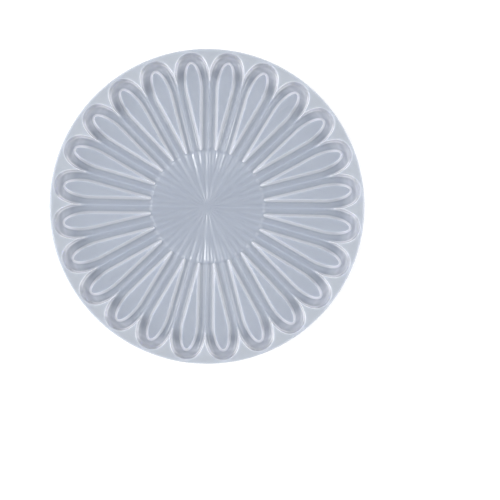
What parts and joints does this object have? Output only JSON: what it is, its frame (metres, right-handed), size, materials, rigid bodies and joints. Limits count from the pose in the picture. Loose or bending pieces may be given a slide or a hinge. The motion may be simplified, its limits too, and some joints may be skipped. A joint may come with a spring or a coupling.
{
  "type": "resin casting mould",
  "caption": "Round open silicone mould with a shallow flower-shaped cavity, for casting resin coasters or small dishes that peel out by flexing it.",
  "frame": {"origin": "centre of the flat underside, on the disc's axis", "axes": "+Z out of the open cavity along the disc's axis; +X along the line between two petals"},
  "size_m": [0.15, 0.15, 0.0105],
  "materials": {
    "silicone": "soft satin, translucent"
  },
  "bodies": {
    "root": {"silicone_mould": "silicone"}
  },
  "joints": []
}
